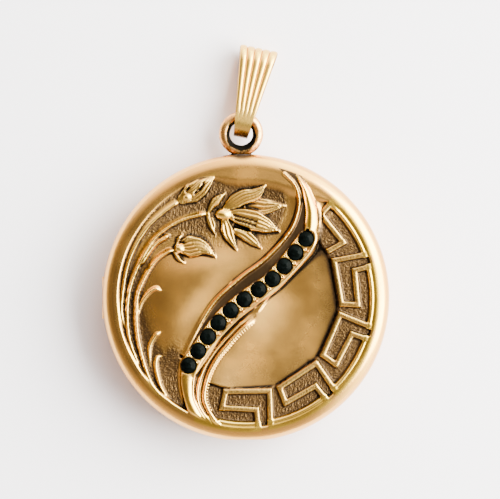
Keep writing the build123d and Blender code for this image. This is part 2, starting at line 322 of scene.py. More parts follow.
UPPER_BUD = (
    [(-6.6, 10.3), (-5.3, 11.15), (-4.2, 12.0), (-3.15, 13.1)], [0.5, 0.98, 0.92, 0.5, 0.02], 0.62, 5, -0.9
)
LOWER_BUD = (
    [(-6.9, 5.2), (-5.6, 5.35), (-4.3, 5.15), (-3.15, 4.3)], [0.5, 1.08, 0.9, 0.42, 0.02], 0.62, 6, 0.9
)
SEPALS = [
    ([(-7.15, 5.7), (-6.95, 6.2), (-6.55, 6.7)], [0.12, 0.2, 0.02], 0.45, 1),
    ([(-7.4, 4.75), (-7.0, 4.1), (-6.35, 3.6)], [0.15, 0.24, 0.16, 0.02], 0.45, 1),
]
PETAL_CUTS = [((-1.3, 8.62), (1.1, 7.95)), ((-1.2, 8.2), (1.0, 7.5))]
BUD_CUTS = [
    ((-6.2, 11.1), (-5.9, 11.45)), ((-4.85, 11.2), (-4.4, 11.9)), ((-6.95, 5.75), (-6.45, 5.8)),
    ((-5.3, 10.9), (-4.95, 11.3)),
]

# Greek key: its rounded edge and the radii of its corners, then its angles in degrees
KEY_BEVEL = 0.17
KEY_OUTER = 13.15
KEY_MIDDLE = 11.7
KEY_INNER = 10.0
KEY_UNITS = 4
KEY_START = 23.0  # inner corner of the first unit
KEY_PITCH = 32.9
KEY_LEG = 26.5  # along the inner side
KEY_RETURN = 8.8  # from the inner corner to the end of the leg that turns back
KEY_STEP = 3.0  # how far the slanting leg leans
KEY_END = 48.0
KEY_SHORT_LEG = 18.4
RIDGE_OVERLAP = 1.4  # how far the outer ridge runs past the corners


def polar(radius, angle):
    """Place at a radius and an angle in degrees."""
    return (radius * math.cos(math.radians(angle)), radius * math.sin(math.radians(angle)))


def key_runs():
    """Straight runs of the Greek key, each a pair of ends."""
    turn = KEY_END - KEY_SHORT_LEG
    outlines = [
        [(KEY_OUTER, KEY_END), (KEY_MIDDLE, KEY_END), (KEY_MIDDLE, turn), (KEY_INNER, turn)],
    ]
    for unit in range(KEY_UNITS):
        start = KEY_START - unit * KEY_PITCH
        leg, back = start - KEY_LEG, start - KEY_RETURN
        outlines.append([
            (KEY_OUTER, start - KEY_STEP), (KEY_INNER, start), (KEY_INNER, leg), (KEY_MIDDLE, leg),
            (KEY_MIDDLE, back), (KEY_OUTER, back),
        ])
    corners = [[polar(*corner) for corner in outline] for outline in outlines]
    return [pair for outline in corners for pair in zip(outline, outline[1:])]


def left_lobe(x, y):
    """How far a place is below the flowers, and how far it is among the stems outside the left lobe."""
    low = smooth(6.3, 2.4, y)
    return low, smooth(9.6, 11.3, np.hypot(x, y) + 0.1 * np.clip(-y, 0, 8)) * low


def left_ground(x, y):
    """Ground behind the flowers and the polished lobe below them."""
    away, side, _ = beside(flowing(LEFT_RIDGE), x, y)
    west = np.maximum(-away * side, 0)
    low, among_stems = left_lobe(x, y)
    roll = (0.2 + 0.32 * smooth(-6, 0, y)) * smooth(0.2, 2.5, west) * (1 - smooth(3.2, 8.5, west))
    edge = 0.3 * smooth(10.6, 12.8, np.hypot(x, y)) * smooth(2, 9, y)
    behind = FLOWER_GROUND + edge + 0.06 * smooth(4.5, 0, west)
    ground = behind + (LOBE_GROUND + roll + 0.1 * smooth(5, 9, west) - behind) * low
    return ground + (PUNCHED_GROUND - ground) * among_stems


def right_ground(x, y):
    """Polished lobe inside the Greek key, steepest beside the rope."""
    away, side, _ = beside(flowing(LOBE_SIDE), x, y)
    east = np.maximum(away * side, 0)
    steep = 0.02 + 0.98 * smooth(4.0, -3.5, 0.6 * x + 0.8 * y)
    return DISH_BOTTOM + steep * DISH_DEPTH * np.exp(-((east / 3.3) ** 1.3))


class Relief:
    """Height of the front over its disc, in millimetres above the back, and what the finish follows."""

    def __init__(self, sizes):
        self.sizes = sizes
        self.x, self.y = disc_grid(sizes.grid, INNER_RADIUS - 0.1)
        self.radius = np.hypot(self.x, self.y)
        self.angle = np.degrees(np.arctan2(self.y, self.x))
        self.z = np.zeros(self.x.shape)
        self.stipple = np.zeros(self.x.shape)
        self.gild = np.zeros(self.x.shape)
        # Darkening in the furrows, grooves, the rope's teeth, the stone seats and the pits.
        self.blackening = np.zeros(self.x.shape)
        self.over_rim = np.zeros(self.x.shape)  # where the relief stands over the rim
        self.random = np.random.default_rng(sizes.seed)

    def lay(self, height, cover=1.0):
        """Raises the surface to a height where the cover is 1."""
        self.z = np.where(cover > 0, np.maximum(self.z, self.z + (height - self.z) * cover), self.z)

    def mark(self, name, amount):
        """Raises one of the maps to at least an amount."""
        setattr(self, name, np.maximum(getattr(self, name), amount))

    def cut(self, line, half, depth, blackening):
        """Furrow with a round bottom along a line."""
        away, _, _ = beside(line, self.x, self.y)
        bite = np.clip(1 - (away / half) ** 2, 0, 1)
        self.z = self.z - depth * bite
        self.mark("blackening", blackening * bite)

    def stroke(self, points, outer, inner, height, tips=(0.05, 0.1), gild=0.3, dull=0.62):
        """Raised line with a sharp crest: a long slope on its outer side, a short one on its inner side."""
        away, side, share = beside(flowing(points), self.x, self.y)
        swell = smooth(0, tips[0], share) * smooth(1, 1 - tips[1], share)
        half = np.where(side > 0, inner, outer) * (0.25 + 0.75 * swell) + 1e-6
        q = np.clip(1 - away / half, 0, 1)
        top = self.ground + height * (0.3 + 0.7 * swell)
        self.lay(top, np.where(side > 0, rounded(q), q**1.5))
        self.mark("gild", gild * smooth(0, 0.4, q))
        covered = smooth(0, 0.35, q)
        flank = smooth(0.8, 0.45, q)
        self.stipple = self.stipple * (1 - covered) + dull * covered * flank

    def leaf(self, spine, widths, height, streaks=4, curl=0.0, gild=0.45):
        """Petal or bud: crowned across, streaked along, with a raised lip where curl puts it."""
        away, side, share = beside(flowing(spine), self.x, self.y)
        stations = np.linspace(0, 1, len(widths))
        half = 1.12 * np.interp(share, stations, widths) + 1e-6
        q = away / half
        across = q * side
        body = np.sqrt(np.clip(1 - q**2, 0, 1))
        wobble = across + 0.08 * np.sin(share * 9 + streaks)
        line = np.cos(wobble * math.pi * streaks) * smooth(1, 0.75, q) * smooth(0, 0.15, share)
        lip = 0.2 * np.exp(-((across - curl) / 0.12) ** 2) if curl else 0.0
        rise = 0.62 + 0.38 * np.sin(share * math.pi * 0.9)
        inside = smooth(1.04, 0.84, q)
        top = self.ground + height * rise * (0.55 + 0.45 * body) + 0.07 * line + lip * inside
        self.lay(top, inside)
        self.gild = np.maximum(self.gild * (1 - inside), gild * inside)
        chased = 0.5 * inside * smooth(0.2, -0.9, line) * smooth(1, 0.6, share)
        self.blackening = self.blackening * (1 - inside) + chased
        self.stipple = self.stipple * (1 - inside) + 0.3 * inside * smooth(0.95, 0.8, q)

    def knob(self, x, y, wide, tall, turn, height, gild=0.5):
        """Rounded oval boss."""
        c, s = math.cos(math.radians(turn)), math.sin(math.radians(turn))
        u = ((self.x - x) * c + (self.y - y) * s) / wide
        v = ((self.y - y) * c - (self.x - x) * s) / tall
        q = np.hypot(u, v)
        self.lay(self.ground + height * np.sqrt(np.clip(1 - q**2, 0, 1)), smooth(1.05, 0.9, q))
        inside = smooth(1.1, 0.9, q)
        self.mark("gild", gild * inside)
        self.stipple = self.stipple * (1 - inside)

    def lay_ground(self):
        """Dished ground, its two polished lobes and where the rim comes over them."""
        x, y, r = self.x, self.y, self.radius
        left, left_side, self.left_share = beside(flowing(LEFT_RIDGE), x, y)
        self.east_of_ridge = left * left_side
        edge, edge_side, _ = beside(flowing(LOBE_EDGE), x, y)
        self.east_of_lobe = edge * edge_side
        west = np.maximum(-self.east_of_ridge, 0)
        _, among_stems = left_lobe(x, y)
        ground_left = evened(left_ground, x, y, 10)
        lobe_right = evened(right_ground, x, y, 8)
        key_ground = smooth(9.5, 9.75, r)
        ground_right = lobe_right + (PUNCHED_GROUND - lobe_right) * key_ground
        above_key = smooth(KEY_END - 6, KEY_END + 4, self.angle) * smooth(8.5, 10.5, r)
        ground_right = ground_right + (LOBE_GROUND - ground_right) * above_key * (self.angle < 90)

        spread = 0.05 + 0.35 * smooth(4, 7, y)
        east_side = smooth(-spread, spread, self.east_of_lobe)
        self.ground = ground_left * (1 - east_side) + ground_right * east_side
        between = smooth(-0.05, 0.1, self.east_of_ridge) * (1 - east_side)
        self.ground = self.ground + (GROOVE_FLOOR - self.ground) * between
        self.z = self.ground.copy()

        self.keyed = east_side * key_ground * (1 - above_key)
        flowered = (1 - east_side) * (1 - between) * np.maximum(smooth(4.4, 7.4, y), among_stems)
        self.stipple = np.clip(self.keyed + flowered * smooth(0.8, 1.6, west), 0, 1)
        patch = smooth(2.6, 1.4, np.hypot((x + 7.6) / 0.8, (y + 8.4) / 1.9)) * (1 - between)
        self.stipple = np.maximum(self.stipple, patch * (1 - east_side))

        inner = np.interp(self.angle, *zip(*RIM_EDGE))
        soft = 0.24 + 0.9 * smooth(13.36, 12.8, inner)
        self.rim = smooth(inner - soft, inner, r)
        self.rim_height = rim_profile(r)

    def band(self):
        """Stone strip between the two ridges, with the rope ridge and the horn."""
        x, y = self.x, self.y
        high = smooth(0.72, 0.5, self.left_share)
        west = -self.east_of_ridge
        flank = np.clip(1 - west / RIDGE_OUTER, 0, 1) * (west > 0)
        fall = np.clip(1 + west / RIDGE_INNER, 0, 1) * (west <= 0)
        crest = self.sizes.ridge_height - 0.28 * (1 - high)
        upper = smooth(6, 9, y)
        away_from_rim = np.maximum(smooth(13.2, 12.2, self.radius), upper)
        slope = flank**1.4 + fall
        self.lay(crest * away_from_rim + self.ground * (1 - away_from_rim), slope * (0.35 + 0.65 * high))
        self.mark("over_rim", upper * smooth(0.15, 0.5, slope))
        self.mark("gild", 0.4 * smooth(0, 0.5, flank) * high)
        self.stipple = self.stipple * (1 - smooth(0, 0.3, flank))

        away, side, _ = beside(flowing(STONE_LINE), x, y)
        east = away * -side
        strip = smooth(0.88, 0.76, np.where(east < 0, away, away * 0.66))
        self.lay(self.sizes.strip_height, strip)
        groove = smooth(0.12, 0.3, self.east_of_ridge) * (self.east_of_lobe < 0) * (1 - strip) * (east < 0.3)
        self.mark("blackening", 0.76 * groove * smooth(-7.5, -6.5, y))

        border, border_side, border_share = beside(flowing(BORDER), x, y)
        half = np.where(border_side > 0, LINE_HALF + 0.3 * smooth(0.4, 0.1, border_share), LINE_HALF)
        lip = rounded(1 - border / half) * smooth(0, 0.04, border_share)
        self.lay(BORDER_CREST - 0.25 * smooth(0.6, 0.9, border_share), lip)
        beyond = border * border_side
        tail = smooth(-7.4, -8.4, y) * (self.east_of_ridge > 0) * (beyond < 0)
        share_across = np.clip(self.east_of_ridge / (self.east_of_ridge - beyond + 1e-6), 0, 1)
        self.lay(TAIL_FOOT + 0.36 * np.sqrt(np.clip(np.sin(share_across * math.pi), 0, 1)), tail)
        self.mark("gild", 0.7 * tail * np.sin(share_across * math.pi))

        rope, rope_side, rope_share = beside(flowing(ROPE), x, y)
        east_of_rope = rope * rope_side
        teeth = 0.5 + 0.5 * np.cos(2 * math.pi * rope_share * ROPE_LENGTH / self.sizes.tooth_pitch)
        inner_edge = smooth(0.02, 0.2, east_of_rope) * smooth(0.42, 0.26, east_of_rope)
        swell = smooth(0, 0.1, rope_share)
        self.lay(ROPE_CREST, rounded(1 - rope / ROPE_HALF) * swell)
        self.z = self.z - 0.09 * teeth * inner_edge * swell
        self.mark("blackening", 0.75 * teeth * inner_edge * swell)
        away, _, share = beside(flowing(MIDDLE_LINE), x, y)
        self.lay(MIDDLE_CREST, rounded(1 - away / LINE_HALF) * smooth(0, 0.2, share))

        away, side, share = beside(flowing(HORN), x, y)
        half = np.interp(share, [0, 0.3, 0.6, 0.85, 1], [0.14, 0.5, 0.72, 0.84, 0.74])
        across = away * side / half
        crest_at = -0.15
        q = np.where(across < crest_at, (across + 1) / (1 + crest_at), (1 - across) / (1 - crest_at))
        self.lay(HORN_FOOT + HORN_RISE * rounded(q), smooth(0, 0.25, q) * smooth(1, 0.97, share))
        self.mark("gild", smooth(0.3, -0.3, across) * smooth(0, 0.3, q))
        self.blackening = self.blackening * (1 - smooth(0.05, 0.25, q) * (share < 0.98))
        self.mark("over_rim", smooth(0.05, 0.3, q) * smooth(0.0, 0.12, share))

    def spray(self):
        """Stems, curls, two buds and the open lily."""
        for points, outer, inner in STEMS:
            self.stroke(points, outer, inner, 0.5, gild=0.6)
        for points in CURLS:
            self.stroke(points, 0.3, 0.3, 0.36, (0.12, 0.6), 0.5, 0.3)
        for petal in LILY:
            self.leaf(*petal)
        self.knob(-2.3, 8.68, 0.92, 0.64, -4, 0.8, 0.9)
        for start, end in PETAL_CUTS:
            middle = ((start[0] + end[0]) / 2, (start[1] + end[1]) / 2)
            self.cut(np.array([start, middle, end]), 0.13, 0.34, 1.0)
        self.cut(np.array([(-1.0, 7.5), (-0.4, 7.3), (0.15, 7.1)]), 0.3, 0.5, 1.0)
        self.leaf(*UPPER_BUD)
        self.knob(-6.09, 10.46, 0.55, 0.5, 30, 0.72)
        self.leaf(*LOWER_BUD)
        self.knob(-6.9, 5.15, 0.6, 0.5, 0, 0.72)
        for sepal in SEPALS:
            self.leaf(*sepal)
        for ends in BUD_CUTS:
            self.cut(np.array(ends), 0.16, 0.22, 1.0)

    def key(self):
        """Flat-topped Greek key, and the rounded ridge that runs along its outer side."""
        half = self.sizes.key_width / 2
        depth = np.full(self.x.shape, -1.0)
        for start, end in key_runs():
            start, end = np.array(start), np.array(end)
            length = math.dist(start, end)
            ux, uy = (end - start) / length
            px, py = self.x - (start[0] + end[0]) / 2, self.y - (start[1] + end[1]) / 2
            along = length / 2 + half - np.abs(px * ux + py * uy)
            depth = np.maximum(depth, np.minimum(along, half - np.abs(py * ux - px * uy)))
        inside = (self.east_of_lobe > 0.3) & (self.radius < KEY_OUTER + half)
        t = np.clip(depth / KEY_BEVEL, 0, 1) * inside
        self.lay(self.sizes.key_height, np.sqrt(1 - (1 - t) ** 2) * (t > 0))
        self.stipple = self.stipple * (1 - 0.62 * smooth(0.1, 0.6, t))

        ridge = np.abs(self.radius - KEY_OUTER - 0.02) / (half + 0.02)
        covered = np.zeros(self.x.shape, bool)
        for unit in range(KEY_UNITS + 1):
            start = KEY_START - unit * KEY_PITCH - KEY_STEP
            top = KEY_END if unit == 0 else KEY_START - (unit - 1) * KEY_PITCH - KEY_RETURN
            covered |= (self.angle > start - RIDGE_OVERLAP) & (self.angle < top + RIDGE_OVERLAP)
        q = np.clip(1 - ridge, 0, 1) * covered
        self.lay(self.sizes.key_height, rounded(q) ** 0.7)
        outside = smooth(KEY_OUTER, KEY_OUTER + 0.15, self.radius) * covered
        self.lay(self.sizes.key_height - 0.08, outside)
        either = np.maximum(q, outside)
        self.mark("gild", smooth(0.0, 0.35, either))
        self.stipple = self.stipple * (1 - smooth(0.0, 0.5, either))
        beyond = smooth(KEY_OUTER, KEY_OUTER + 0.2, self.radius) * covered
        self.bright_ridge = np.maximum(smooth(0.1, 0.5, q), beyond)

    def settle(self):
        """Rim over everything, stone pits, fine stipple and the maps that the finish follows, painted shade and
        highlight among them.
        """
        rim = self.rim
        standing = self.z
        self.z = self.z * (1 - rim) + np.maximum(self.rim_height, 0) * rim
        kept = self.over_rim * smooth(13.9, 13.4, self.radius)
        self.z = self.z + np.maximum(standing - self.z, 0) * kept
        for x, y in stone_places(self.sizes.stones):
            away = np.hypot(self.x - x, self.y - y)
            self.z = self.z - SEAT_DEPTH * smooth(SEAT_RADIUS, SEAT_RADIUS - 0.12, away)
            self.mark("blackening", smooth(0.98, 0.8, away) * 0.85)
        for x, y, wide in STRIP_ENDS:
            pit = smooth(wide, wide * 0.4, np.hypot(self.x - x, self.y - y))
            self.z = self.z - PIT_DEPTH * pit
            self.mark("blackening", pit)
        self.stipple = self.stipple * (1 - rim)
        rough = self.random.normal(0, 1, self.x.shape)
        rough = rough - blurred(rough, 2)
        self.z = self.z + self.sizes.stipple_depth * rough * self.stipple
        wave = evened(lambda a, b: self.random.normal(0, 1, a.shape), self.x, self.y, 14)
        self.z = self.z + 0.008 * wave * (1 - rim)
        # Painted shade: darker where the surface lies below its blurred surroundings, in thin lines round the
        # relief and broadly in the wide hollows.
        hollow = blurred(self.z, 2) - self.z
        wide_hollow = blurred(self.z, 6) - self.z
        shaded = 0.85 * smooth(0.02, 0.13, hollow) + 0.6 * smooth(0.05, 0.35, wide_hollow)
        # Painted shade: the right lobe darker towards the Greek key, and the inner band of the rim darker on its
        # left half.
        beside_key = smooth(5.0, 9.6, self.radius) * smooth(10.2, 9.6, self.radius)
        beside_key = beside_key * (self.east_of_lobe > 0.3)
        painted_shade = (0.4 + 0.15 * smooth(-50, 0, self.angle)) * beside_key * smooth(62, 45, self.angle)
        band = smooth(13.3, 13.5, self.radius) * smooth(14.5, 14.2, self.radius)
        painted_shade = painted_shade + 0.38 * band * smooth(-0.2, -0.8, self.x / (self.radius + 1e-6))
        # The patina map holds patina and painted shade together: the painted shade above, lightened on the key's
        # ridge and tops, plus the blackening marks.
        shaded = np.maximum(shaded * (1 - 0.85 * self.bright_ridge) * (1 - 0.3 * self.keyed), self.blackening)
        self.patina_and_shade = np.clip(shaded + painted_shade, 0, 1)
        # Crests get a pale wear colour that is also a painted highlight.
        self.wear_and_highlight = smooth(0.02, 0.12, -hollow)


def rim_profile(radius):
    """Height of the rolled rim: highest at its inner edge, then falling to the bead."""
    s = np.clip((radius - CREST_RADIUS) / (CASE_RADIUS - CREST_RADIUS), 0, 1)
    inward = np.clip(CREST_RADIUS - radius, 0, 2)
    return BEAD + (CREST - BEAD) * np.sqrt(1 - s**2.6) + 0.055 * inward


def stone_places(count):
    """Stone centres, evenly spaced along their line."""
    line = flowing(STONE_LINE, 40)
    run = run_of(line)
    at = np.linspace(0, run[-1], count)
    return list(zip(np.interp(at, run, line[:, 0]), np.interp(at, run, line[:, 1])))


def clear_of_hinge(points):
    """Pushes points out of the hinge barrel's way and trims the thumbnail flat and the nick."""
    x, y, z = points.T.copy()
    y = np.maximum(y, -FLAT)
    nick = (np.abs(x) < NICK_HALF) & (z < NICK_TOP) & (z > 2 * HINGE.z - NICK_TOP) & (y < -NICK_DEPTH)
    y = np.where(nick, -NICK_DEPTH, y)
    dx, dz = x - HINGE.x, z - HINGE.z
    away = np.hypot(dx, dz) + 1e-9
    near = (np.abs(y) < HINGE_HALF + 0.05) & (away < NOTCH)
    x = np.where(near, HINGE.x + dx / away * NOTCH, x)
    z = np.where(near, HINGE.z + dz / away * NOTCH, z)
    return np.stack([x, y, z], axis=1)


# ---------------------------------------------------------------- finishes


class Field:
    """A number that varies over a surface. Arithmetic on it adds Math nodes to its bench."""

    def __init__(self, bench, socket):
        self.bench = bench
        self.socket = socket

    def joined(self, operation, *values):
        """Math node of an operation on the values."""
        return self.bench.number(operation, *values)

    def __add__(self, other):
        return self.joined("ADD", self, other)

    __radd__ = __add__

    def __sub__(self, other):
        return self.joined("SUBTRACT", self, other)

    def __rsub__(self, other):
        return self.joined("SUBTRACT", other, self)

    def __mul__(self, other):
        return self.joined("MULTIPLY", self, other)

    __rmul__ = __mul__

    def __truediv__(self, other):
        return self.joined("DIVIDE", self, other)

    def clamped(self):
        """The number, kept between 0 and 1."""
        return self.joined("MINIMUM", self.joined("MAXIMUM", self, 0.0), 1.0)


class Bench:
    """Node tree of one finish, and the ways of adding to it."""

    def __init__(self, owner):
        self.owner = owner
        owner.use_nodes = True
        self.tree = owner.node_tree
        self.tree.nodes.clear()

    def add(self, kind, settings=None, sockets=None):
        """A node of a kind, with its settings made before its sockets are filled or linked."""
        node = self.tree.nodes.new(kind)
        for key, value in (settings or {}).items():
            setattr(node, key, value)
        for key, value in (sockets or {}).items():
            source = value.socket if isinstance(value, Field) else value
            if isinstance(source, bpy.types.NodeSocket):
                self.tree.links.new(source, node.inputs[key])
            else:
                node.inputs[key].default_value = source
        return node

    def number(self, operation, *values):
        """Number worked out from one, two or three others."""
        node = self.add("ShaderNodeMath", {"operation": operation}, dict(enumerate(values)))
        return Field(self, node.outputs[0])

    def colour(self, first, second, share):
        """First colour where the share is 0 and second where it is 1; each is a colour or a socket."""
        ends = [end if isinstance(end, bpy.types.NodeSocket) else (*end[:3], 1.0) for end in (first, second)]
        node = self.add("ShaderNodeMix", {"data_type": "RGBA"}, {0: share, 6: ends[0], 7: ends[1]})
        return node.outputs[2]

    def attribute(self, name):
        """One of the maps that a piece carries on its points."""
        return Field(self, self.add("ShaderNodeAttribute", {"attribute_name": name}).outputs["Fac"])

    def place(self):
        """Where a point is in its object, in metres."""
        return self.add("ShaderNodeTexCoord").outputs["Object"]

    def from_axis(self):
        """Distance from the object's upright axis, in metres."""
        part = self.add("ShaderNodeSeparateXYZ", None, {0: self.place()})
        x, y = Field(self, part.outputs[0]), Field(self, part.outputs[1])
        return self.number("SQRT", x * x + y * y)

    def noise(self, size, detail=3.0, roughness=0.55, stretch=(1, 1, 1)):
        """Soft noise whose features are about size millimetres across."""
        scale = tuple(part / (size * MM) for part in stretch)
        placed = self.add("ShaderNodeMapping", None, {"Vector": self.place(), "Scale": scale}).outputs[0]
        sockets = {"Vector": placed, "Scale": 1.0, "Detail": detail, "Roughness": roughness}
        node = self.add("ShaderNodeTexNoise", None, sockets)
        return Field(self, node.outputs[0])

    def ramp(self, field, low, high):
        """0 below low and 1 above high."""
        sockets = {0: field, 1: low, 2: high, 3: 0.0, 4: 1.0}
        node = self.add("ShaderNodeMapRange", {"interpolation_type": "SMOOTHSTEP"}, sockets)
        return Field(self, node.outputs[0])

    def bump(self, height, depth, under=None):
        """Normal from a height field, its full range depth millimetres."""
        sockets = {"Height": height, "Distance": depth * MM, "Strength": 1.0}
        if under is not None:
            sockets["Normal"] = under
        return self.add("ShaderNodeBump", None, sockets).outputs[0]

    def metal(self, base, rough, normal, **more):
        """Bare metal of a colour, roughness and normal."""
        return self.surface(Base_Color=base, Metallic=1.0, Roughness=rough.clamped(), Normal=normal, **more)

    def surface(self, **sockets):
        """Principled surface; keywords are its socket names with underscores."""
        filled = {key.replace("_", " "): value for key, value in sockets.items()}
        shader = self.add("ShaderNodeBsdfPrincipled", None, filled)
        self.add("ShaderNodeOutputMaterial", None, {"Surface": shader.outputs[0]})
        return self.owner


RING_PITCH = 0.11  # of the rings that turning leaves, in millimetres
WHITE = (1.0, 1.0, 1.0)


def finish(name, maker, *extras):
    """The material of that name, made once."""
    found = bpy.data.materials.get(name)
    return found or maker(Bench(bpy.data.materials.new(name)), bpy.context.scene.locket_colours, *extras)


def stamped_gold(bench, colours):
    """Worn gold plate that follows the relief: brown patina and painted shade in the hollows, pale wear and
    painted highlight on the crests.
    """
    patina_and_shade = bench.attribute("patina_and_shade")
    wear_and_highlight = bench.attribute("wear_and_highlight")
    gild = bench.attribute("gild")
    stipple = bench.attribute("stipple")
    cloud = bench.noise(4.0, 3)
    speck = bench.noise(0.16, 2)
    grain = bench.noise(0.05, 2)
    base = bench.colour(colours.gold, colours.rosy_gold, bench.ramp(cloud, 0.42, 0.68) * 0.5)
    base = bench.colour(base, colours.yellow_gold, gild * 0.9)
    base = bench.colour(base, colours.pale_gold, wear_and_highlight * 0.6)
    dulled = (stipple * (0.92 + 0.12 * bench.ramp(speck, 0.35, 0.6))).clamped()
    base = bench.colour(base, colours.brown, dulled)
    # Brown where the patina and painted shade map is high, near-black where it is highest.
    deep = (bench.ramp(patina_and_shade, 0.08, 0.75) * (0.88 + 0.3 * speck)).clamped()
    base = bench.colour(base, colours.patina_and_shade, deep)
    black = bench.ramp(patina_and_shade + 0.25 * speck, 0.98, 1.15)
    base = bench.colour(base, colours.blackening, black)
    clouded = 0.1 * bench.ramp(cloud, 0.3, 0.8)
    rough = 0.17 + 0.14 * dulled + 0.1 * deep + clouded + 0.06 * speck
    normal = bench.bump(bench.noise(0.14, 2) * stipple, 0.035, bench.bump(grain + speck, 0.002))
    return bench.metal(base, rough, normal)


def plain_gold(bench, colours, rub, rosy):
    """Polished gold plate with fine rubbing, a few pits and cloudy colour."""
    cloud = bench.noise(5.0, 3)
    scratches = bench.noise(0.5, 4, 0.7, (1, 9, 1))
    crossing = bench.noise(0.6, 4, 0.7, (8, 1, 1))
    pits = bench.ramp(bench.noise(0.28, 2), 0.71, 0.76)
    base = bench.colour(colours.gold, colours.rosy_gold, bench.ramp(cloud, 0.35, 0.7) * rosy)
    base = bench.colour(base, colours.patina_and_shade, pits * 0.7)
    rough = rub + 0.12 * scratches + 0.12 * bench.ramp(cloud, 0.3, 0.75) + 0.3 * pits
    return bench.metal(base, rough, bench.bump(scratches + crossing - pits, 0.004))


def spun_gold(bench, colours):
    """Satin gold with fine rings left by turning."""
    rings = bench.number("SINE", bench.from_axis() * (2 * math.pi / (RING_PITCH * MM)))
    cloud = bench.noise(3.0, 3)
    spots = bench.ramp(bench.noise(0.7, 4), 0.66, 0.72)
    base = bench.colour(colours.pale_gold, colours.gold, bench.ramp(cloud, 0.3, 0.7))
    base = bench.colour(base, colours.brown, spots * 0.6)
    rough = 0.27 + 0.15 * cloud + 0.25 * spots
    return bench.metal(base, rough, bench.bump(rings * (0.4 + cloud), 0.003))


def pale_bail_gold(bench, colours):
    """Pale polished gold with lengthwise rubbing; painted brown shade in the flutes and along the edges, darker at
    the foot.
    """
    flute_shade = bench.attribute("flute_shade")
    foot = bench.attribute("foot")
    rub = bench.noise(0.35, 4, 0.65, (6, 1, 1))
    cloud = bench.noise(2.2, 3)
    specks = bench.ramp(bench.noise(0.3, 3), 0.68, 0.74)
    base = bench.colour(colours.bail_gold, colours.gold, (flute_shade * 0.7 + 0.3 * cloud).clamped())
    base = bench.colour(base, colours.brown, bench.ramp(flute_shade, 0.45, 0.8) * 0.35)
    dark = specks * 0.5 + bench.ramp(flute_shade, 0.85, 1.0) * 0.8 + foot * 0.85
    base = bench.colour(base, colours.patina_and_shade, dark.clamped())
    rough = 0.22 + 0.12 * rub + 0.15 * flute_shade + 0.2 * specks
    return bench.metal(base, rough, bench.bump(rub, 0.004))


def rose_ring_gold(bench, colours):
    """Coppery ring wire, blackened near the case and on its inside."""
    blackening = bench.attribute("blackening")
    cloud = bench.noise(0.9, 4, 0.6)
    streak = bench.noise(0.35, 4, 0.7)
    black = bench.ramp(blackening + 0.9 * (cloud - 0.5), 0.35, 0.62)
    base = bench.colour(colours.rose_gold, colours.pale_gold, bench.ramp(cloud, 0.45, 0.75) * 0.35)
    base = bench.colour(base, colours.copper, bench.ramp(streak, 0.5, 0.66) * 0.7)
    base = bench.colour(base, colours.blackening, black)
    rough = 0.2 + 0.35 * black + 0.15 * streak
    return bench.metal(base, rough, bench.bump(cloud + streak, 0.02))


def burnt_solder(bench, colours):
    """Oxidised solder, nearly black, with coppery rubbed spots."""
    lumps = bench.noise(0.45, 5, 0.65)
    rubbed = bench.ramp(lumps, 0.56, 0.68)
    base = bench.colour(colours.blackening, colours.copper, rubbed * 0.7)
    return bench.metal(base, 0.62 - 0.25 * rubbed, bench.bump(lumps, 0.1))


def dull_steel(bench, colours):
    """Drawn steel wire with a little rust."""
    draw = bench.noise(0.2, 3, 0.6, (1, 0.05, 1))
    rust = bench.ramp(bench.noise(0.3, 4), 0.6, 0.7)
    base = bench.colour(colours.steel, colours.brown, rust * 0.6)
    return bench.metal(base, 0.3 + 0.25 * rust, bench.bump(draw, 0.004))


def cut_paste(bench, colours):
    """Near-black cut glass with greenish depth and rubbed facets."""
    cloud = bench.noise(0.5, 3)
    base = bench.colour(colours.stone, colours.stone_glow, bench.ramp(cloud, 0.4, 0.7))
    rough = (0.12 + 0.2 * bench.ramp(bench.noise(0.25, 3), 0.45, 0.75)).clamped()
    return bench.surface(
        Base_Color=base, Roughness=rough, IOR=1.5, Specular_IOR_Level=0.012, Normal=bench.bump(cloud, 0.003)
    )


def picture_lens(bench, colours):
    """Thin clear lens, faintly scuffed."""
    scuff = bench.ramp(bench.noise(0.9, 5, 0.7, (1, 6, 1)), 0.55, 0.75)
    facing = Field(bench, bench.add("ShaderNodeLayerWeight", None, {"Blend": 0.5}).outputs["Facing"])
    base = bench.colour(WHITE, colours.card, scuff * 0.1)
    rough = (0.02 + 0.12 * scuff).clamped()
    alpha = (0.03 + 0.7 * facing * facing * facing + 0.05 * scuff).clamped()
    return bench.surface(Base_Color=base, Metallic=1.0, Roughness=rough, Alpha=alpha)


def aged_card(bench, colours):
    """Blank picture card, foxed and darker towards its edge."""
    radius = bench.from_axis() / MM
    fibre = bench.noise(0.12, 4, 0.7)
    stain = bench.noise(4.0, 4, 0.6)
    foxing = bench.ramp(bench.noise(0.8, 4), 0.64, 0.72)
    aged = (bench.ramp(radius + 3 * stain, 6.0, 12.0) * 0.7 + 0.3 * bench.ramp(stain, 0.5, 0.75)).clamped()
    base = bench.colour(colours.card, colours.card_edge, aged)
    base = bench.colour(base, colours.brown, foxing * 0.35)
    return bench.surface(
        Base_Color=base, Roughness=(0.75 + 0.15 * fibre).clamped(), Normal=bench.bump(fibre, 0.02)
    )


def pale_floor(bench, colours):
    """Plain matt paper."""
    fibre = bench.noise(1.5, 3)
    base = bench.colour(colours.floor, WHITE, fibre * 0.05)
    return bench.surface(Base_Color=base, Roughness=(0.85 + 0.1 * fibre).clamped())


# ---------------------------------------------------------------- sizes and colours


def length_property(name, default, text):
    """Length in millimetres."""
    return bpy.props.FloatProperty(name=name, default=default, description=text + ", in millimetres", min=0)


def colour_property(name, default, text):
    """Colour in linear light."""
    return bpy.props.FloatVectorProperty(
        name=name, default=default, description=text, subtype="COLOR", size=3, min=0, max=1
    )


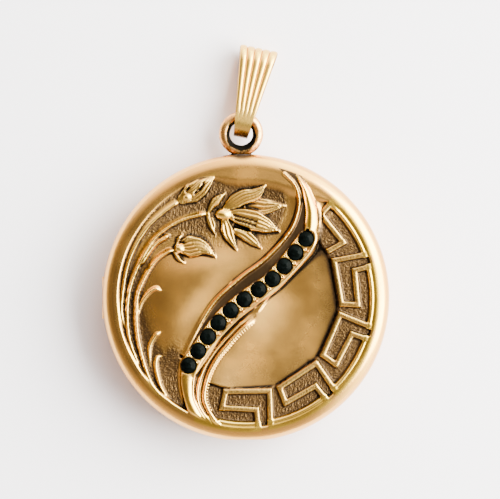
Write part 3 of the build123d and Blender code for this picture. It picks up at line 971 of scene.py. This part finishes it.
class LocketSizes(bpy.types.PropertyGroup):
    """Sizes of the locket's visible detail"""

    grid: bpy.props.IntProperty(
        name="Grid", default=272, min=40, max=280, description="Cells across the stamped front"
    )
    seed: bpy.props.IntProperty(name="Seed", default=7, description="Seed of the stipple and the wear")
    stones: bpy.props.IntProperty(name="Stones", default=11, min=2, description="Stones along the S band")
    flutes: bpy.props.IntProperty(name="Flutes", default=5, min=1, description="Flutes down the bail")
    ridge_height: length_property("Ridge height", 6.36, "Height of the left ridge's crest above the back")
    strip_height: length_property("Strip height", 6.12, "Height of the stone strip above the back")
    key_height: length_property("Key height", 5.95, "Height of the flat tops of the Greek key above the back")
    key_width: length_property("Key width", 0.64, "Width of the Greek key's bands")
    tooth_pitch: length_property("Tooth pitch", 0.32, "Pitch of the milled teeth of the rope ridge")
    stipple_depth: length_property("Stipple depth", 0.02, "Depth of the punched ground")
    stone_radius: length_property("Stone radius", 0.755, "Radius of the paste stones at their girdle")
    bead_radius: length_property("Bead radius", 0.2, "Radius of the raised beads between the stones")
    flute_depth: length_property("Flute depth", 0.22, "Depth of the valleys between the bail's flutes")


class LocketColours(bpy.types.PropertyGroup):
    """Colours of the locket's finishes"""

    gold: colour_property("Gold", (0.87, 0.45, 0.1), "Polished gold of the case")
    # Also paints the highlight on the stamped front's crests and on the studs' tops.
    pale_gold: colour_property("Pale gold", (0.95, 0.62, 0.14), "Rubbed high spots")
    yellow_gold: colour_property("Yellow gold", (0.92, 0.56, 0.06), "Richer gilding left in the relief")
    rosy_gold: colour_property("Rosy gold", (0.78, 0.34, 0.045), "Thin plate with copper showing")
    bail_gold: colour_property("Bail gold", (0.92, 0.57, 0.1), "Pale gold of the bail")
    rose_gold: colour_property("Rose gold", (0.84, 0.41, 0.12), "Ring wire")
    copper: colour_property("Copper", (0.4, 0.15, 0.045), "Bare copper and rust")
    # Also the painted shade in the bail's flutes.
    brown: colour_property("Brown", (0.09, 0.048, 0.02), "Dulled ground")
    # Brown used for patina and also for painted shade in the hollows, in the bail's flutes and at the feet of the
    # studs.
    patina_and_shade: colour_property("Patina", (0.07, 0.04, 0.02), "Brown patina in the recesses")
    # Near-black of the deepest recesses, of the ring's dark parts and of the solder.
    blackening: colour_property("Grime", (0.005, 0.004, 0.003), "Black grime in the deepest recesses")
    steel: colour_property("Steel", (0.42, 0.4, 0.37), "Hinge pin")
    stone: colour_property("Stone", (0.0008, 0.0012, 0.001), "Dark paste")
    stone_glow: colour_property("Stone glow", (0.002, 0.003, 0.003), "Green depth of the paste")
    card: colour_property("Card", (0.42, 0.33, 0.19), "Middle of the picture cards")
    card_edge: colour_property("Card edge", (0.17, 0.1, 0.045), "Browned edge of the picture cards")
    floor: colour_property("Floor", (0.9, 0.835, 0.945), "Paper that the locket lies on")


# ---------------------------------------------------------------- pieces

# Rings of the lid's outside and inside
ROLLED_RADII = (14.05, 14.2, 14.35, 14.5, 14.63, 14.75, 14.85, 14.92, 14.97)
SIDE_HEIGHTS = (4.1, 3.8, 3.5, 3.3, SEAM)
LIP_RADII = (14.45, 14.3, 14.15, INNER_RADIUS)
INSIDE = [(INNER_RADIUS, 3.6), (INNER_RADIUS, 4.65), (13.25, 5.0)]

# Stones: share of the girdle's radius, height, number of corners and how far they are turned, in corners
STONE_RINGS = (
    (0.4, 6.5, 8, 0), (0.6, 6.41, 8, 0.5), (1.0, 6.27, 16, 0), (1.0, 6.22, 16, 0), (0.55, 5.9, 8, 0.5),
    (0.06, 5.7, 8, 0),
)
TABLE = 6.5
STONE_TOP = 6.54
STONE_TILT = 0.05

# Share out and share up of the little bumps' outlines
BEAD_PROFILE = ((0, 0.3), (0.25, 0.4), (0.5, 0.95), (0.7, 1.0), (0.9, 0.6), (1, 0), (1, -1))
BEAD_RISE = 0.24
TOOTH_FOOT, TOOTH_RISE = 6.02, 0.13
TOOTH_LENGTH, TOOTH_WIDTH = 0.19, 0.11  # halves
TOOTH_PROFILE = ((0, 1.0), (0.35, 0.92), (0.7, 0.7), (1, 0), (1, -2.5))

# Bail, seen from its side: round ends along it from the ring's wire, half widths, thickness and droop
FOOT, FOOT_RADIUS, FOOT_HALF = -0.65, 1.52, 0.72
HEAD, HEAD_RADIUS, HEAD_HALF = 5.77, 1.75, 2.02
STRIP = 0.35
DROOP = math.radians(6.2)
CELLS_PER_FLUTE = 12

def lid_side():
    """Radius and height of the rings from the stamped disc over the rim, down the side and up the inside."""
    rolled = [(r, float(rim_profile(np.array(r)))) for r in ROLLED_RADII]
    bulge = CASE_RADIUS - SIDE_CENTRE
    side = [(SIDE_CENTRE + math.sqrt(bulge**2 - (z - BEAD) ** 2), z) for z in SIDE_HEIGHTS]
    lip = [(r, SEAM) for r in LIP_RADII]
    return rolled + [(CASE_RADIUS, BEAD)] + side + lip + INSIDE


def front_cover(sizes):
    """Lid: stamped disc, rolled rim, side bead, seam lip and inside."""
    relief = Relief(sizes)
    relief.lay_ground()
    relief.key()
    relief.spray()
    relief.band()
    relief.settle()
    count = sizes.grid
    disc = np.stack([relief.x.ravel(), relief.y.ravel(), relief.z.ravel()], axis=1)
    index = np.arange((count + 1) ** 2).reshape(count + 1, count + 1)
    corners = [index[:-1, :-1], index[1:, :-1], index[1:, 1:], index[:-1, 1:]]
    quads = np.stack(corners, axis=-1).reshape(-1, 4)
    edge = edge_order(count)
    turns = np.arctan2(*np.array([(relief.y[i, j], relief.x[i, j]) for i, j in edge]).T)
    rim = lid_side()
    around = len(edge)
    rings = [np.stack([r * np.cos(turns), r * np.sin(turns), np.full(around, z)], axis=1) for r, z in rim]
    points = clear_of_hinge(np.vstack([disc] + rings))
    faces = quads.tolist()
    inner_loop = [int(index[i, j]) for i, j in edge]
    first = (count + 1) ** 2
    for step in range(len(rim)):
        loop = list(range(first + step * around, first + (step + 1) * around))
        for j in range(around):
            k = (j + 1) % around
            faces.append((inner_loop[j], inner_loop[k], loop[k], loop[j]))
        inner_loop = loop
    faces.append(tuple(inner_loop[::-1]))
    rest = points[first:]
    # Painted shadow of the ring on the rim beneath it, with solder burn.
    ring_shadow_and_burn = 0.75 * smooth(1.9, 0.5, np.hypot((rest[:, 0] + 0.4) / 1.1, (rest[:, 1] - CASE_RADIUS) / 0.5))
    extra = {"patina_and_shade": ring_shadow_and_burn, "wear_and_highlight": 0 * ring_shadow_and_burn, "gild": 0 * ring_shadow_and_burn, "stipple": 0 * ring_shadow_and_burn}
    maps = {key: np.concatenate([getattr(relief, key).ravel(), extra[key]]) for key in extra}
    gold = finish("stamped_gold", stamped_gold)
    piece = make_piece("stamped_front", points, faces, "front_lid", gold, maps)
    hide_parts("front_cover")


def faceted_stone(number, place, sizes, random):
    """Round paste stone: table, two rings of crown facets, girdle and pavilion."""
    x, y = place
    spin = random.uniform(0, math.pi)
    tilt = [random.uniform(-STONE_TILT, STONE_TILT) for _ in range(2)]
    points = [(0, 0, TABLE)]
    for share, z, sides, shift in STONE_RINGS:
        for side in range(sides):
            turn = spin + (side + shift) * 2 * math.pi / sides
            out = share * sizes.stone_radius
            px, py = out * math.cos(turn), out * math.sin(turn)
            points.append((px, py, z + tilt[0] * px + tilt[1] * py))
    cloud = bmesh.new()
    for px, py, z in points:
        cloud.verts.new(((x + px) * MM, (y + py) * MM, min(z, STONE_TOP) * MM))
    bmesh.ops.convex_hull(cloud, input=cloud.verts[:])
    loose = [v for v in cloud.verts if not v.link_faces]
    bmesh.ops.delete(cloud, geom=loose, context="VERTS")
    mesh = bpy.data.meshes.new(f"cut_stone_{number:02d}")
    cloud.to_mesh(mesh)
    cloud.free()
    piece = set_piece(mesh, "front_lid", finish("cut_paste", cut_paste))
    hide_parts(f"paste_stone_{number:02d}")


def studs(name, places, profile, sides=12):
    """Little bumps on the lid, each a place, half length, half width, turn and rise, all of one profile."""
    points, faces, height = [], [], []
    for x, y, z, long, wide, turn, rise in places:
        first = len(points)
        c, s = math.cos(turn), math.sin(turn)
        points.append((x, y, z + rise * profile[0][1]))
        height.append(profile[0][1])
        for share, up in profile[1:]:
            for k in range(sides):
                a = 2 * math.pi * k / sides
                u, v = share * long * math.cos(a), share * wide * math.sin(a)
                points.append((x + u * c - v * s, y + u * s + v * c, z + rise * up))
                height.append(up)
        for k in range(sides):
            faces.append((first, first + 1 + k, first + 1 + (k + 1) % sides))
        for quad in tube_faces(len(profile) - 1, sides):
            faces.append(tuple(first + 1 + n for n in quad))
        last = first + 1 + (len(profile) - 2) * sides
        faces.append(tuple(range(last, last + sides)))
    height = np.array(height)
    # Painted shade round the foot of each bump, and on its top the pale wear colour that is also a painted
    # highlight.
    maps = {
        "patina_and_shade": 0.7 * smooth(0.7, 0.0, height), "wear_and_highlight": smooth(0.75, 1.0, height),
        "gild": np.full(len(points), 0.5), "stipple": np.zeros(len(points)),
    }
    make_piece(name, points, faces, "front_lid", finish("stamped_gold", stamped_gold), maps)


def bead_settings(sizes, random):
    """Raised beads with a dimple, in pairs between neighbouring stones."""
    line = stone_places(sizes.stones)
    places = []
    for (ax, ay), (bx, by) in zip(line, line[1:]):
        length = math.hypot(bx - ax, by - ay)
        nx, ny = -(by - ay) / length, (bx - ax) / length
        for side in (-0.6, 0.62):
            x = (ax + bx) / 2 + nx * side + random.uniform(-0.04, 0.04)
            y = (ay + by) / 2 + ny * side + random.uniform(-0.04, 0.04)
            size = sizes.bead_radius * random.uniform(0.9, 1.15)
            places.append((x, y, sizes.strip_height, size, size, 0, BEAD_RISE))
    studs("bead_settings", places, BEAD_PROFILE)


def rope_teeth(sizes, random):
    """Milled teeth along the inner side of the rope ridge."""
    line = flowing(ROPE, 20)
    run = run_of(line)
    places = []
    for at in np.arange(1.0, run[-1] - 1.6, sizes.tooth_pitch):
        x, y = np.interp(at, run, line[:, 0]), np.interp(at, run, line[:, 1])
        ahead = np.array([np.interp(at + 0.1, run, line[:, k]) for k in (0, 1)])
        turn = math.atan2(ahead[1] - y, ahead[0] - x) + math.pi / 2
        offset = 0.17 + random.uniform(-0.015, 0.015)
        place = (x + offset * math.cos(turn), y + offset * math.sin(turn), TOOTH_FOOT)
        places.append((*place, TOOTH_LENGTH, TOOTH_WIDTH, turn, TOOTH_RISE))
    studs("rope_teeth", places, TOOTH_PROFILE, 10)


def bail_frame():
    """Middle of the ring wire that the bail hangs on, and the directions along and across the bail."""
    joint = next(j for j in frame["joints"] if j["name"] == "bail_swing")
    pivot = Vector(joint["pos_m"]) / MM
    across = Vector(joint["axis"]).normalized()
    level = Vector((-across.y, across.x, 0))
    along = level * math.cos(DROOP) - Vector((0, 0, math.sin(DROOP)))
    return pivot, along, across


def bail_path():
    """Side view of the strip round its two round ends: places and outward directions, (along, up)."""
    lean = math.asin((HEAD_RADIUS - FOOT_RADIUS) / (HEAD - FOOT))

    def bend(middle, radius, first, sweep, steps):
        """Round end: clockwise from a first angle."""
        turns = [first - sweep * k / steps for k in range(steps + 1)]
        outward = [(math.cos(turn), math.sin(turn)) for turn in turns]
        return [(middle + radius * c, radius * s, c, s) for c, s in outward]

    def straight(a, b, steps=24):
        """Flat stretch between two ends, which it leaves out."""
        shares = [k / steps for k in range(1, steps)]
        return [(a[0] + (b[0] - a[0]) * t, a[1] + (b[1] - a[1]) * t, a[2], a[3]) for t in shares]

    head = bend(HEAD, HEAD_RADIUS, math.pi / 2 + lean, math.pi + 2 * lean, 30)
    foot = bend(FOOT, FOOT_RADIUS, -math.pi / 2 - lean, math.pi - 2 * lean, 26)
    return head + straight(head[-1], foot[0]) + foot + straight(foot[-1], head[0])


def fluted_bail(sizes):
    """Strip bent into a loop, wider towards the top and fluted lengthwise on its outside."""
    pivot, along, across = bail_frame()
    up = across.cross(along)
    foot_end, head_end = FOOT - FOOT_RADIUS, HEAD + HEAD_RADIUS
    cells = CELLS_PER_FLUTE * sizes.flutes
    path = bail_path()
    points, flute_shade, foot = [], [], []
    for inner in (0, 1):
        for s, h, ns, nh in path:
            half = FOOT_HALF + (HEAD_HALF - FOOT_HALF) * (s - foot_end) / (head_end - foot_end)
            deep = sizes.flute_depth * float(smooth(-0.4, 3.2, np.array(s)))
            for k in range(cells + 1):
                v = k / cells
                cell = (v * sizes.flutes) % 1.0 if k < cells else 1.0
                dip = 1 - math.sqrt(max(0.0, 1 - (2 * cell - 1) ** 2) ** 0.8)
                sunk = STRIP if inner else deep * dip
                w = (2 * v - 1) * half
                points.append(pivot + along * (s - ns * sunk) + up * (h - nh * sunk) + across * w)
                # Painted shade down each flute's valley and along both edges of the strip.
                shade = 0.8 * dip * min(1.0, deep / sizes.flute_depth) * (1 - inner)
                flute_shade.append(1.0 if k in (0, cells) else shade)
                foot.append(float(smooth(-1.5, -2.0, np.array(s))))
    rows, columns = len(path), cells + 1
    outer = tube_faces(rows, columns, True, False)
    shift = rows * columns
    faces = outer + [tuple(n + shift for n in quad) for quad in outer]
    for i in range(rows):
        after = (i + 1) % rows
        for j in (0, columns - 1):
            a, b = i * columns + j, after * columns + j
            faces.append((a, b, b + shift, a + shift))
    gold = finish("pale_bail_gold", pale_bail_gold)
    maps = {"flute_shade": flute_shade, "foot": foot}
    piece = make_piece("fluted_bail", points, faces, "bail", gold, maps)
    piece.data.set_sharp_from_angle(angle=math.radians(50))
    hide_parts("bail")


def wire_ring(random):
    """Closed ring of thick wire, slightly uneven, dark towards the case."""
    low, high = cad("bail_ring")
    centre = (low + high) / 2
    wire = (high.z - low.z) / 2
    major = (high.x - low.x) / 2 - wire
    around, section = 128, 40
    phase = [random.uniform(0, 2 * math.pi) for _ in range(4)]
    points, blackening = [], []
    for i in range(around):
        turn = 2 * math.pi * i / around
        dent = 0.012 * math.sin(3 * turn + phase[0]) + 0.01 * math.sin(7 * turn + phase[1])
        for j in range(section):
            roll = 2 * math.pi * j / section
            flaw = 0.006 * math.sin(5 * turn + 3 * roll + phase[2])
            thick = wire * (0.968 + dent + flaw)
            r = major + thick * math.cos(roll)
            points.append(centre + Vector((r * math.cos(turn), r * math.sin(turn), thick * math.sin(roll))))
            # Darker towards the case and on the inner side of the wire.
            toward_case = smooth(0.1, -0.8, math.sin(turn))
            inside = smooth(0.1, -0.75, math.cos(roll))
            blackening.append(float(0.5 * toward_case + 0.78 * inside))
    piece = make_piece(
        "wire_ring", points, tube_faces(around, section, True), "back_case",
        finish("rose_ring_gold", rose_ring_gold), {"blackening": blackening},
    )
    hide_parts("bail_ring")


def solder_fillet(random):
    """Lump of solder that fills the gap between the ring and the case."""
    low, high = cad("ring_saddle")
    middle, half_length = (low.x + high.x) / 2, (high.x - low.x) / 2
    root, depth = CASE_RADIUS - 0.4, (high.z - low.z) / 2
    rows, sides = 49, 20
    phase = [random.uniform(0, 2 * math.pi) for _ in range(3)]
    points = []
    for i in range(rows):
        along = (2 * i / (rows - 1) - 1) * 0.999
        taper = math.sqrt(1 - along**2)
        x = middle + along * half_length
        lump = 0.03 * math.sin(9 * along + phase[0]) + 0.02 * math.sin(17 * along + phase[1])
        rise = 0.3 + 0.45 * math.exp(-((along * half_length / 1.3) ** 2)) * taper + lump * taper
        for j in range(sides):
            turn = 2 * math.pi * j / sides
            wide = depth * (0.35 + 0.6 * taper) * (1 + 0.04 * math.sin(3 * turn + phase[2]))
            points.append((x, root + rise * math.cos(turn), (low.z + high.z) / 2 + wide * math.sin(turn)))
    faces = tube_faces(rows, sides) + [tuple(range(sides)), tuple(range((rows - 1) * sides, rows * sides))]
    piece = make_piece(
        "solder_fillet", points, faces, "back_case", finish("burnt_solder", burnt_solder)
    )
    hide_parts("ring_saddle")


def dress(node, material):
    """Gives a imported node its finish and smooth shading, with its corners kept."""
    piece = frame["nodes"][node]
    piece.data.materials.clear()
    piece.data.materials.append(material)
    piece.data.polygons.foreach_set("use_smooth", [True] * len(piece.data.polygons))
    piece.data.set_sharp_from_angle(angle=math.radians(35))


# ---------------------------------------------------------------- stage

# In metres and watts, and the camera's own millimetres for its sensor and lens
FLOOR_REACH = 1.5
SOFTBOX_SIZE = (0.3, 0.24)
SOFTBOX_PLACE = (0.21, 0.04, 0.17)
SOFTBOX_POWER = 5.5
SOFTBOX_COLOUR = (0.96, 1.0, 0.9)
DIM_TINT, BRIGHT_TINT = (1.0, 0.87, 0.76), (0.92, 1.0, 0.86)
CAMERA_HEIGHT = 0.4044
CAMERA_ASIDE, CAMERA_BELOW = 0.00043, 0.00089
SENSOR, LENS = 36, 275.5


def paper_floor(scene):
    """Sheet of paper that the locket lies on."""
    mesh = bpy.data.meshes.new("floor")
    corners = [(x * FLOOR_REACH, y * FLOOR_REACH, 0) for x, y in ((-1, -1), (1, -1), (1, 1), (-1, 1))]
    mesh.from_pydata(corners, [], [(0, 1, 2, 3)])
    mesh.materials.append(finish("pale_floor", pale_floor))
    paper = bpy.data.objects.new("floor", mesh)
    scene.collection.objects.link(paper)


def studio_world(scene):
    """Light from all round: dark overhead, bright at the right and far sides, warmer where it is dim."""
    scene.world = bpy.data.worlds.new("studio")
    bench = Bench(scene.world)
    seen = bench.add("ShaderNodeTexCoord").outputs["Generated"]
    part = bench.add("ShaderNodeSeparateXYZ", None, {0: seen})
    x, y, z = (Field(bench, part.outputs[n]) for n in range(3))
    side = x * 0.93 + y * 0.37
    glow = bench.ramp(side, 0.08, 0.78)
    above = bench.ramp(x * 0.3 + y * 0.95, 0.1, 0.7)
    below = bench.ramp(y, -0.15, -0.75)
    horizon = bench.ramp(z, 0.55, 0.25)
    strength = 0.22 + 7.5 * glow + 3.0 * above + 0.7 * below + 0.62 * horizon
    tint = bench.colour(DIM_TINT, BRIGHT_TINT, bench.ramp(side, 0.05, 0.5))
    background = bench.add("ShaderNodeBackground", None, {"Color": tint, "Strength": strength})
    bench.add("ShaderNodeOutputWorld", None, {"Surface": background.outputs[0]})


def right_softbox(scene):
    """Large soft lamp at the right, aimed at the middle of the locket."""
    lamp = bpy.data.lights.new("softbox", "AREA")
    lamp.shape = "RECTANGLE"
    lamp.size, lamp.size_y = SOFTBOX_SIZE
    lamp.energy = SOFTBOX_POWER
    lamp.color = SOFTBOX_COLOUR
    softbox = bpy.data.objects.new("softbox", lamp)
    scene.collection.objects.link(softbox)
    softbox.location = SOFTBOX_PLACE
    softbox.rotation_euler = (-softbox.location).to_track_quat("-Z", "Y").to_euler()


def overhead_camera(scene):
    """Camera that looks straight down on the locket."""
    camera = bpy.data.cameras.new("camera")
    camera.sensor_width = SENSOR
    camera.lens = LENS
    camera.clip_start, camera.clip_end = 0.01, 10
    eye = bpy.data.objects.new("camera", camera)
    scene.collection.objects.link(eye)
    middle = (CAD_BOX[0][1] + CAD_BOX[1][1]) / 2
    eye.location = (CAMERA_ASIDE, middle - CAMERA_BELOW, CAMERA_HEIGHT)
    scene.camera = eye


# ---------------------------------------------------------------- operators


class LOCKET_OT_stamped_front(bpy.types.Operator):
    """Make the stamped front cover"""

    bl_idname = "locket.stamped_front"
    bl_label = "Stamped Front"

    def execute(self, context):
        front_cover(context.scene.locket_sizes)
        return {"FINISHED"}


class LOCKET_OT_stones(bpy.types.Operator):
    """Make the paste stones, the beads that hold them and the rope's teeth"""

    bl_idname = "locket.stones"
    bl_label = "Paste Stones"

    def execute(self, context):
        sizes = context.scene.locket_sizes
        random = np.random.default_rng(sizes.seed + 1)
        for number, place in enumerate(stone_places(sizes.stones), 1):
            faceted_stone(number, place, sizes, random)
        bead_settings(sizes, random)
        rope_teeth(sizes, random)
        return {"FINISHED"}


class LOCKET_OT_bail(bpy.types.Operator):
    """Make the fluted bail, its ring and the solder that holds it"""

    bl_idname = "locket.bail"
    bl_label = "Bail and Ring"

    def execute(self, context):
        sizes = context.scene.locket_sizes
        fluted_bail(sizes)
        random = np.random.default_rng(sizes.seed + 2)
        wire_ring(random)
        solder_fillet(random)
        return {"FINISHED"}


class LOCKET_OT_back(bpy.types.Operator):
    """Finish the back cover, the snap rim and the hinge"""

    bl_idname = "locket.back"
    bl_label = "Back and Hinge"

    def execute(self, context):
        dress("back_cover", finish("back_gold", plain_gold, 0.16, 0.6))
        dress("snap_rim", finish("spun_gold", spun_gold))
        for node in ("hinge_knuckle_back_upper", "hinge_knuckle_back_lower", "hinge_knuckle_front"):
            dress(node, finish("barrel_gold", plain_gold, 0.28, 0.9))
        dress("hinge_pin", finish("dull_steel", dull_steel))
        return {"FINISHED"}


class LOCKET_OT_inside(bpy.types.Operator):
    """Finish the inner plates and the picture frames, lenses and cards"""

    bl_idname = "locket.inside"
    bl_label = "Picture Fittings"

    def execute(self, context):
        for side in ("back", "front"):
            dress(f"{side}_inner_plate", finish("spun_gold", spun_gold))
            dress(f"{side}_photo_frame", finish("frame_gold", plain_gold, 0.2, 0.3))
            dress(f"{side}_lens", finish("picture_lens", picture_lens))
            dress(f"{side}_picture_card", finish("aged_card", aged_card))
        return {"FINISHED"}


class LOCKET_OT_stage(bpy.types.Operator):
    """Make the floor, the studio light and the camera"""

    bl_idname = "locket.stage"
    bl_label = "Stage"

    def execute(self, context):
        for make in (paper_floor, studio_world, right_softbox, overhead_camera):
            make(context.scene)
        return {"FINISHED"}


class LOCKET_PT_panel(bpy.types.Panel):
    """Panel that lists the locket's pieces"""

    bl_label = "Locket"
    bl_idname = "LOCKET_PT_panel"
    bl_space_type = "VIEW_3D"
    bl_region_type = "UI"
    bl_category = "Locket"

    def draw(self, context):
        for step in STEPS:
            self.layout.operator(step.bl_idname)


STEPS = (
    LOCKET_OT_stage,
    LOCKET_OT_stamped_front,
    LOCKET_OT_stones,
    LOCKET_OT_bail,
    LOCKET_OT_back,
    LOCKET_OT_inside,
)
CLASSES = (LocketSizes, LocketColours, *STEPS, LOCKET_PT_panel)


def register():
    """Makes the properties, operators and panel known."""
    for kind in CLASSES:
        bpy.utils.register_class(kind)
    bpy.types.Scene.locket_sizes = bpy.props.PointerProperty(type=LocketSizes)
    bpy.types.Scene.locket_colours = bpy.props.PointerProperty(type=LocketColours)


def unregister():
    """Takes them away again."""
    del bpy.types.Scene.locket_colours
    del bpy.types.Scene.locket_sizes
    for kind in reversed(CLASSES):
        bpy.utils.unregister_class(kind)


def main():
    """Builds every piece and the stage."""
    register()
    for step in STEPS:
        group, name = step.bl_idname.split(".")
        getattr(getattr(bpy.ops, group), name)()


if __name__ == "__main__":
    main()
